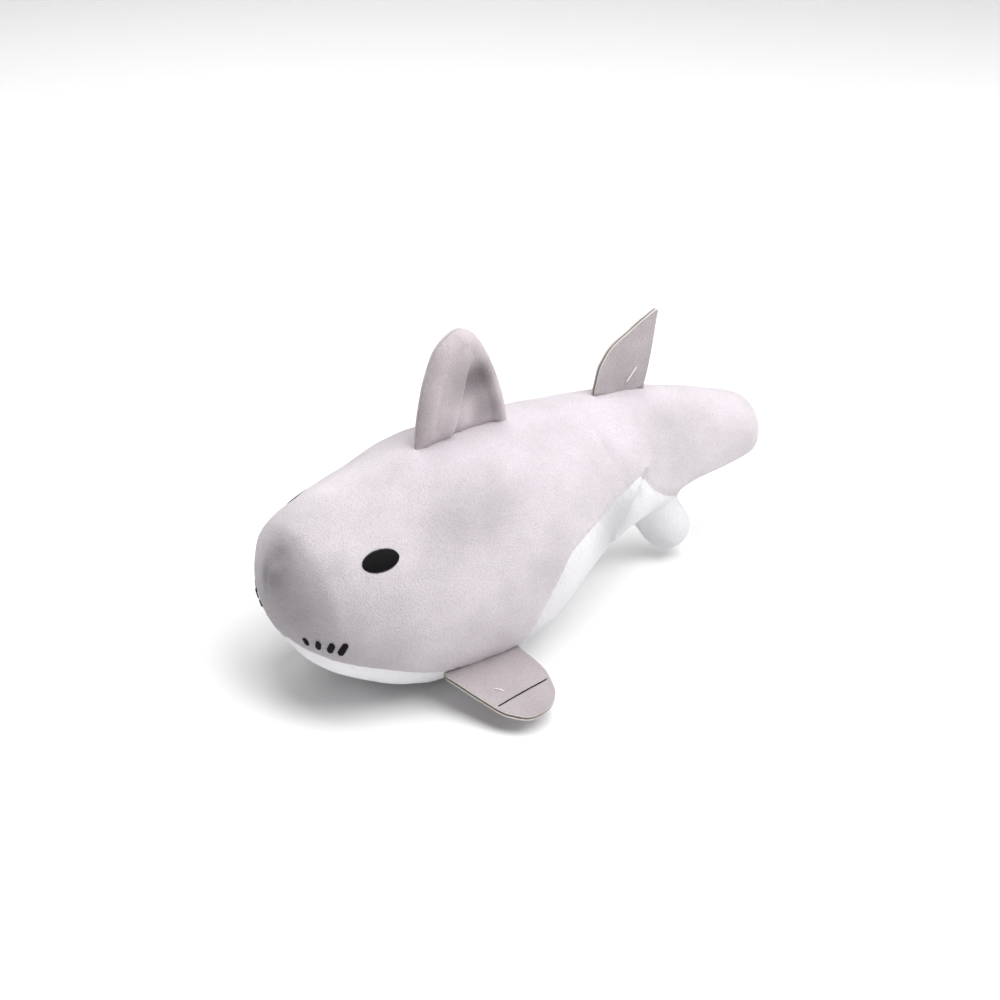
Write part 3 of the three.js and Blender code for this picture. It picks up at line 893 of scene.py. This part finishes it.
def joined(name, parts):
    """One object from several lists of vertices and faces."""
    verts, faces = [], []
    for part_verts, part_faces in parts:
        base = len(verts)
        verts += [tuple(v) for v in part_verts]
        faces += [tuple(i + base for i in face) for face in part_faces]
    obj = mesh_object(name, verts, faces)
    turn_outward(obj)
    shade_smooth(obj)
    return obj


def skin_frame(node):
    """Skin point nearest a left-hand CAD stitch patch, with directions back, up and out."""
    low, high = (Vector(c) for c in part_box(node))
    place, out, _, _ = SKIN_TREE.find_nearest((low + high) / 2)
    if out.x < 0:
        out = -out
    rearward = Vector((-out.y, out.x, 0)).normalized()
    upward = out.cross(rearward).normalized()
    return place, rearward, upward, out


def on_skin(place, out):
    """The skin point under a place near it, and how the skin faces there."""
    hit = SKIN_TREE.ray_cast(place + out * SEARCH_OUT, -out)
    if hit[0] is None:
        return place, out
    facing = hit[1] if hit[1].dot(out) > 0 else -hit[1]
    return hit[0], facing


def satin(node, half_length, half_height, turn, oval):
    """Satin stitch: threads laid side by side across a long shape, highest in its middle."""
    place, rearward, upward, out = skin_frame(node)
    along = rearward * math.cos(turn) + upward * math.sin(turn)
    across = upward * math.cos(turn) - rearward * math.sin(turn)
    parts = []
    count = int(2 * half_length / STITCH_PITCH)
    for k in range(count + 1):
        s = -half_length + 2 * half_length * k / count
        share = abs(s) / half_length
        end = share if oval else max(0.0, abs(s) - (half_length - half_height)) / half_height
        reach = half_height * math.sqrt(max(1 - end * end, 0.0))
        reach = max(reach, SHORTEST_STITCH) + random.uniform(-STITCH_JITTER, STITCH_JITTER) * MM
        edge = math.sqrt(max(1 - share * share, LEAST_ROUNDING))
        path, ups = [], []
        for i in range(STITCH_STEPS + 1):
            v = -reach + 2 * reach * i / STITCH_STEPS
            point, facing = on_skin(place + along * (s + STITCH_SLANT * v) + across * v, out)
            crown = math.sqrt(max(1 - (v / (reach + CROWN_MARGIN)) ** 2, 0.0))
            crown *= min(edge + CROWN_AT_EDGE, 1.0)
            path.append(point + facing * (STITCH_LIFT + STITCH_CROWN * crown) * MM)
            ups.append(facing)
        parts.append(tube(path, STITCH_PITCH * STITCH_RADIUS, STITCH_SIDES, STITCH_FLAT, ups))
    return parts


def embroider(name, node, parts):
    """Left and right copies of a stitched shape; SIDE in the names stands for the side."""
    for side, sign in (("left", 1), ("right", -1)):
        here = [([(sign * v.x, v.y, v.z) for v in verts], faces) for verts, faces in parts]
        obj = joined(name.replace("SIDE", side), here)
        paint(obj, SATIN)
        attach(obj, "body")
        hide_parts(node.replace("SIDE", side))


eye = satin("eye_left", EYE_HALF_LENGTH, EYE_HALF_HEIGHT, EYE_TURN, oval=True)
embroider("eye_satin_SIDE", "eye_SIDE", eye)
for number, (length, lean) in enumerate(MOUTH, 1):
    upright = math.radians(90 - lean)
    stitch = satin(f"mouth_stitch_left_{number}", length / 2 * MM, MOUTH_HALF_WIDTH, upright, oval=False)
    embroider(f"mouth_satin_SIDE_{number}", f"mouth_stitch_SIDE_{number}", stitch)

# ---------------------------------------------------------- padded fin

DORSAL_OUTLINE = [
    (0, 0), (0.035, 0.28), (0.11, 0.6), (0.235, 0.86), (0.395, 0.98),
    (0.52, 1), (0.65, 0.915), (0.785, 0.68), (0.9, 0.38), (1, 0),
]


RING_GROWTH = 1.35


def radial_sheet(outline, centre, rings):
    """Points and faces filling an outline from a root centre outwards, with rings closer at the rim."""
    outline = np.array(outline)
    shares = 1 - (1 - np.linspace(0, 1, rings + 1)[1:]) ** RING_GROWTH
    rows = [centre + s * (outline - centre) for s in shares]
    width = len(outline)
    faces = []
    for i in range(rings - 1):
        for j in range(width - 1):
            a = i * width + j
            faces.append((a, a + 1, a + width + 1, a + width))
    hub = rings * width
    for j in range(width - 1):
        faces.append((hub, j + 1, j))
    return np.vstack([*rows, centre[None]]), faces


def outline_distance(points, outline):
    """Distance of flat points from an open outline."""
    d = np.full(len(points), np.inf)
    for a, b in zip(outline[:-1], outline[1:]):
        along = b - a
        t = np.clip(((points - a) @ along) / max(along @ along, TINY ** 2), 0, 1)
        d = np.minimum(d, np.linalg.norm(points - a - t[:, None] * along, axis=1))
    return d


ROOT_DEPTH = 3.0 * MM
TIP_CLEARANCE = 1.5 * MM
ABOVE_TOY = 0.4
BESIDE_SEAM = 0.003
DORSAL_SAMPLES, DORSAL_RINGS = 72, 30
DORSAL_HALF = 6.4 * MM
DORSAL_CLOTH = 1.2 * MM
WADDING_INSET = 2.2 * MM
WADDING_WELD = 0.5 * MM
DORSAL_BEND_HALF = 7 * MM
RIM_ROUND = 7.5 * MM
PINCH_SHARE, PINCH_RISE, PINCH_WIDTH = 0.42, 1.0 * MM, 3.2 * MM
ROOT_SHARE, ROOT_RISE = 0.66, 18 * MM
# Crease on the left face: from its foot it runs back as it rises, and the hollow lies behind it
CREASE_FOOT, CREASE_RUN, CREASE_RISE, CREASE_LIMIT = 22.5 * MM, 13.5 * MM, 54 * MM, 1.2
HOLLOW_START = (-1.0 * MM, 2.2 * MM)
HOLLOW_RIM = (3.5 * MM, 11 * MM)
HOLLOW_TOP = (40 * MM, 55 * MM)
HOLLOW_LEAST = 0.62
# Places on the left face as (behind the crease, above the root, half width, half height)
HOLLOW_DEEPEST = (14 * MM, 26 * MM, 8 * MM, 14 * MM)
ROOT_BULGE = (9 * MM, 9 * MM, 5 * MM, 6 * MM)
CREST_AHEAD, CREST_WIDTH, CREST_RISE = 4.5 * MM, 5 * MM, (2 * MM, 10 * MM)
TROUGH_IN, TROUGH_WIDTH, TROUGH_DEPTH = 8.5 * MM, 2.2 * MM, 0.7 * MM
TROUGH_AHEAD, TROUGH_RISE = (6 * MM, 0), (6 * MM, 16 * MM)
# Depth of the hollow, height of the bulge and height of the crest on each face
FACE_SHAPES = {1: (6.2 * MM, 1.6 * MM, 1.5 * MM), -1: (-0.6 * MM, 0.0, 0.3 * MM)}
LEAN_HEIGHT, LEAN_SIZE = 1.2 * MM, 26 * MM
DORSAL_WAVE, DORSAL_WAVE_SIZE, DORSAL_SEED = 0.25 * MM, 9 * MM, 11

dorsal_low, dorsal_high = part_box("dorsal_panel_left")
dorsal_front, dorsal_rear = dorsal_low[1], dorsal_high[1]
dorsal_tip = dorsal_high[2] - TIP_CLEARANCE


def back_height(y):
    """Height of the back just beside its centre seam."""
    return SKIN_TREE.ray_cast(Vector((BESIDE_SEAM, y, ABOVE_TOY)), Vector((0, 0, -1)))[0].z


def dorsal_outline():
    """Outline of the padded fin from root front to root rear, its root a little inside the body."""
    front_z = back_height(dorsal_front) - ROOT_DEPTH
    rear_z = back_height(dorsal_rear) - ROOT_DEPTH
    points = []
    for a, b in DORSAL_OUTLINE:
        root = front_z + (rear_z - front_z) * a
        points.append((dorsal_front + a * (dorsal_rear - dorsal_front), root + b * (dorsal_tip - root)))
    return spline(points, DORSAL_SAMPLES)


dorsal_edge = dorsal_outline()
dorsal_centre = (dorsal_edge[0] + dorsal_edge[-1]) / 2
dorsal_grid, dorsal_faces = radial_sheet(dorsal_edge, dorsal_centre, DORSAL_RINGS)


def mound(behind, rise, place):
    """1 in the middle of a place on the fin's face, falling to 0 round it."""
    back_to, up_to, half_width, half_height = place
    return np.exp(-(((behind - back_to) / half_width) ** 2 + ((rise - up_to) / half_height) ** 2))


def dorsal_thickness(yz, face, inset):
    """Half thickness of the padded fin, with the crease and hollow on its left face."""
    hollow_depth, bulge_height, crest_height = FACE_SHAPES[face]
    d = outline_distance(yz, dorsal_edge)
    rise = yz[:, 1] - (dorsal_edge[0][1] + ROOT_DEPTH)
    edge = np.sqrt(np.clip(1 - (1 - np.clip(d / RIM_ROUND, 0, 1)) ** 2, 0, 1))
    pinch = 1 - PINCH_SHARE * bell(rise - PINCH_RISE, PINCH_WIDTH)
    root = ROOT_SHARE + (1 - ROOT_SHARE) * smooth_step(0, ROOT_RISE, rise)
    crease_y = dorsal_front + CREASE_FOOT + np.clip(rise / CREASE_RISE, 0, CREASE_LIMIT) * CREASE_RUN
    behind = yz[:, 0] - crease_y
    hollow = smooth_step(*HOLLOW_START, behind) * smooth_step(*HOLLOW_RIM, d)
    hollow *= 1 - smooth_step(*HOLLOW_TOP, rise)
    hollow *= HOLLOW_LEAST + (1 - HOLLOW_LEAST) * mound(behind, rise, HOLLOW_DEEPEST)
    bulge = mound(behind, rise, ROOT_BULGE) * edge
    crest = bell(behind + CREST_AHEAD, CREST_WIDTH) * edge * smooth_step(*CREST_RISE, rise)
    trough = bell(d - TROUGH_IN, TROUGH_WIDTH)
    trough *= smooth_step(*TROUGH_AHEAD, behind) * smooth_step(*TROUGH_RISE, rise)
    half = DORSAL_HALF * edge * root * pinch
    half = half - hollow_depth * hollow + bulge_height * bulge + crest_height * crest
    return half - TROUGH_DEPTH * trough - inset * edge


def dorsal_points(face, inset=0.0):
    h = dorsal_thickness(dorsal_grid, face, inset)
    lean = LEAN_HEIGHT * np.sin((dorsal_grid[:, 1] - dorsal_edge[0][1]) / LEAN_SIZE)
    flat = np.column_stack([h * 0, dorsal_grid])
    wave = DORSAL_WAVE * noise_at(flat, DORSAL_WAVE_SIZE, DORSAL_SEED + face)
    return np.column_stack([face * h + lean + wave, dorsal_grid])


def fin_faces(face):
    return dorsal_faces if face < 0 else [f[::-1] for f in dorsal_faces]


def at_dorsal_root(obj, node):
    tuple(DORSAL_BEND[0])
    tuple(DORSAL_BEND[1])
    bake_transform(obj)
    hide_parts(node)


dorsal_root = JOINTS["dorsal_fin_lean"]["pos_m"][2]
DORSAL_BEND = ((0, 0, dorsal_root - DORSAL_BEND_HALF), (0, 0, dorsal_root + DORSAL_BEND_HALF))
for side, sign in (("left", 1), ("right", -1)):
    fin = mesh_object(f"dorsal_cloth_{side}", dorsal_points(sign), fin_faces(sign))
    thicken(fin, DORSAL_CLOTH)
    paint(fin, DORSAL_PLUSH)
    at_dorsal_root(fin, f"dorsal_panel_{side}")

wadding_sides = [(dorsal_points(face, WADDING_INSET), fin_faces(face)) for face in (1, -1)]
wadding = joined("dorsal_wad", wadding_sides)
turn_outward(wadding, WADDING_WELD)
paint(wadding, FIBRE)
at_dorsal_root(wadding, "dorsal_wadding")

# ------------------------------------------------------------ flat fins

REAR_OUTLINE = [
    (0, 0), (0.03, 0.28), (0.11, 0.43), (0.26, 0.585), (0.56, 0.745), (0.8, 0.88), (1.05, 1), (1.1, 0.99),
]
SIDE_OUTLINE = [
    (0.03, 0), (0.26, 0.7), (0.38, 0.89), (0.53, 1), (0.75, 0.98),
    (0.95, 0.83), (1.04, 0.58), (1.06, 0.34), (1.0, 0),
]
REAR_BASE, REAR_HEIGHT = 43 * MM, 52 * MM
REAR_ROOT_DEPTH = 5 * MM
REAR_BOW_HEIGHT, REAR_BOW_TURN = 0.7 * MM, 5.0
REAR_BEND_BELOW, REAR_BEND_ABOVE = 1.5 * MM, 8 * MM
REAR_TACK = ((26.0 * MM, 2.5 * MM), (33.5 * MM, 13.5 * MM))
REAR_TACK_STEPS = 8
REAR_TACK_LIFT, REAR_TACK_RADIUS = 0.45 * MM, 0.55 * MM
SIDE_CHORD, SIDE_REACH = 58 * MM, 53 * MM
SIDE_ROOT_DEPTH = 4 * MM
SIDE_DROOP = math.radians(12)
SIDE_CURL, SIDE_CAMBER, SIDE_CAMBER_TURN = 1.0 * MM, 0.9 * MM, 3.1
SIDE_FLOOR = 1.2 * MM
SIDE_BEND = 12 * MM
THREAD_FROM = (0.69 * SIDE_REACH, 0.28 * SIDE_CHORD)
THREAD_TO = (0.56 * SIDE_REACH, 1.01 * SIDE_CHORD)
THREAD_STEPS = 24
THREAD_LIFT, THREAD_RADIUS, THREAD_FLAT = 0.25 * MM, 0.5 * MM, 0.6
THREAD_WAVE, THREAD_WAVE_TURN = 0.1 * MM, 40
SIDE_TACK_START, SIDE_TACK_STEP, SIDE_TACK_STEPS = 22 * MM, 0.9 * MM, 6
SIDE_TACK_SINK, SIDE_TACK_ARCH, SIDE_TACK_RADIUS = 0.1 * MM, 0.25 * MM, 0.45 * MM
STRAND_SIDES = 8
LAYER = 1.25 * MM
LAYER_GAP = 0.35 * MM
LAYER_RINGS = 22
LAYER_FLARE, FLARE_WIDTH = 0.8 * MM, 2.5 * MM
LAYER_SOFTEN, SOFTEN_WIDTH = 0.25 * MM, 1.2 * MM
LAYER_WAVE, LAYER_WAVE_SIZE, LAYER_SEED = 0.35 * MM, 11 * MM, 21
EDGE_SAMPLES, CLOSING_SAMPLES = 64, 14


def flat_layer(name, edge, to_world, outward):
    """One cloth layer of a flat fin, with plush faces and a pale cut edge: outward is 1 or -1."""
    centre = (edge[0] + edge[-1]) / 2
    offset = outward * (LAYER + LAYER_GAP) / 2
    grid, faces = radial_sheet(edge, centre, LAYER_RINGS)
    d = outline_distance(grid, edge)
    flare = LAYER_FLARE * np.exp(-d / FLARE_WIDTH)
    soften = LAYER_SOFTEN * (1 - smooth_step(0, SOFTEN_WIDTH, d))
    flat = np.column_stack([grid, grid[:, 0] * 0 + offset])
    wave = LAYER_WAVE * noise_at(flat, LAYER_WAVE_SIZE, LAYER_SEED)
    height = offset + outward * (flare - soften) + wave
    points = [to_world(u, v, w) for (u, v), w in zip(grid, height)]
    obj = mesh_object(name, points, faces)
    turn_outward(obj)
    solid = obj.modifiers.new("layer", "SOLIDIFY")
    solid.thickness = LAYER
    solid.offset = 0
    solid.material_offset_rim = 1
    paint(obj, FIN_PLUSH, CUT_EDGE)
    apply_modifiers(obj)
    shade_smooth(obj)
    return obj


def edge_points(outline, base, height, root_depth, closing=None):
    """Outline of a fin with its root carried a little way into the body."""
    curve = spline([(a * base, b * height) for a, b in outline], EDGE_SAMPLES)
    if closing is not None:
        corner = curve[-1]
        run = np.array(closing) - corner
        straight = [corner + run * k / CLOSING_SAMPLES for k in range(1, CLOSING_SAMPLES + 1)]
        curve = np.vstack([curve, straight])
    root = np.array([0, -root_depth])
    return np.vstack([(curve[0] + root)[None], curve, (curve[-1] + root)[None]])


def strand(name, body, path, radius, material, flat=1.0):
    obj = joined(name, [tube(path, radius, STRAND_SIDES, flat)])
    paint(obj, material)
    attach(obj, body)
    return obj


rear_joint = JOINTS["rear_fin_lean"]
rear_along = Vector(rear_joint["axis"]).normalized()
rear_up = Vector((0, -rear_along.z, rear_along.y))
rear_front = Vector(rear_joint["pos_m"])
rear_edge = edge_points(REAR_OUTLINE, REAR_BASE, REAR_HEIGHT, REAR_ROOT_DEPTH, closing=(REAR_BASE, 0))


def rear_place(u, v, w):
    """World place of a point u along the root, v up the fin and w to its left."""
    bow = REAR_BOW_HEIGHT * math.sin(max(v, 0) / REAR_HEIGHT * REAR_BOW_TURN)
    return rear_front + rear_along * u + rear_up * v + Vector((w + bow, 0, 0))


REAR_BEND = (rear_front - rear_up * REAR_BEND_BELOW, rear_front + rear_up * REAR_BEND_ABOVE)
for side, sign in (("left", 1), ("right", -1)):
    layer = flat_layer(f"rear_fin_cloth_{side}", rear_edge, rear_place, sign)
    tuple(REAR_BEND[0])
    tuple(REAR_BEND[1])
    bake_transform(layer)
    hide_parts(f"rear_fin_panel_{side}")

(tack_u, tack_v), (tack_end_u, tack_end_v) = REAR_TACK
streak = [
    rear_place(
        tack_u + (tack_end_u - tack_u) * k / REAR_TACK_STEPS,
        tack_v + (tack_end_v - tack_v) * k / REAR_TACK_STEPS,
        LAYER_GAP / 2 + LAYER + REAR_TACK_LIFT,
    )
    for k in range(REAR_TACK_STEPS + 1)
]
strand("rear_fin_tack", "rear_fin", streak, REAR_TACK_RADIUS, SEWING)

side_edge = edge_points(SIDE_OUTLINE, SIDE_CHORD, SIDE_REACH, SIDE_ROOT_DEPTH)[:, ::-1]
side_joint = JOINTS["side_fin_left_flap"]
side_along = -Vector(side_joint["axis"]).normalized()
side_start = Vector(side_joint["pos_m"])
side_level = Vector((side_along.y, -side_along.x, 0))
side_reach = side_level * math.cos(SIDE_DROOP) + Vector((0, 0, -math.sin(SIDE_DROOP)))
side_normal = side_reach.cross(side_along)


def side_placer(sign):
    """World place of a point u out along a side fin, v back along its root and w above it."""

    def place(u, v, w):
        camber = SIDE_CAMBER * math.sin(v / SIDE_CHORD * SIDE_CAMBER_TURN)
        curl = camber - SIDE_CURL * (max(u, 0) / SIDE_REACH) ** 2
        p = side_start + side_reach * u + side_along * v + side_normal * (w + curl)
        return Vector((sign * p.x, p.y, max(p.z, SIDE_FLOOR)))

    return place


above = LAYER_GAP / 2 + LAYER + THREAD_LIFT
for side, sign in (("left", 1), ("right", -1)):
    place = side_placer(sign)
    bend_to = side_start + side_reach * SIDE_BEND
    bend_to = Vector((sign * bend_to.x, bend_to.y, bend_to.z))
    body_name = f"side_fin_{side}"
    for face, up in (("top", 1), ("bottom", -1)):
        layer = flat_layer(f"side_fin_cloth_{side}_{face}", side_edge, place, up)
        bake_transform(layer)
        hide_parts(f"side_fin_{side}_{face}")
    line = []
    for k in range(THREAD_STEPS + 1):
        t = k / THREAD_STEPS
        u, v = (start + (end - start) * t for start, end in zip(THREAD_FROM, THREAD_TO))
        line.append(place(u, v, above + THREAD_WAVE * math.sin(THREAD_WAVE_TURN * t)))
    thread_line = strand(
        f"side_fin_line_{side}", body_name, line, THREAD_RADIUS, SATIN, THREAD_FLAT
    )
    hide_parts(f"side_fin_{side}_thread")
    tack = []
    for k in range(SIDE_TACK_STEPS + 1):
        at = SIDE_TACK_START + SIDE_TACK_STEP * k
        arch = SIDE_TACK_ARCH * math.sin(HALF_TURN * k / SIDE_TACK_STEPS)
        tack.append(place(at, at, above - SIDE_TACK_SINK + arch))
    strand(f"side_fin_tack_{side}", body_name, tack, SIDE_TACK_RADIUS, SEWING)
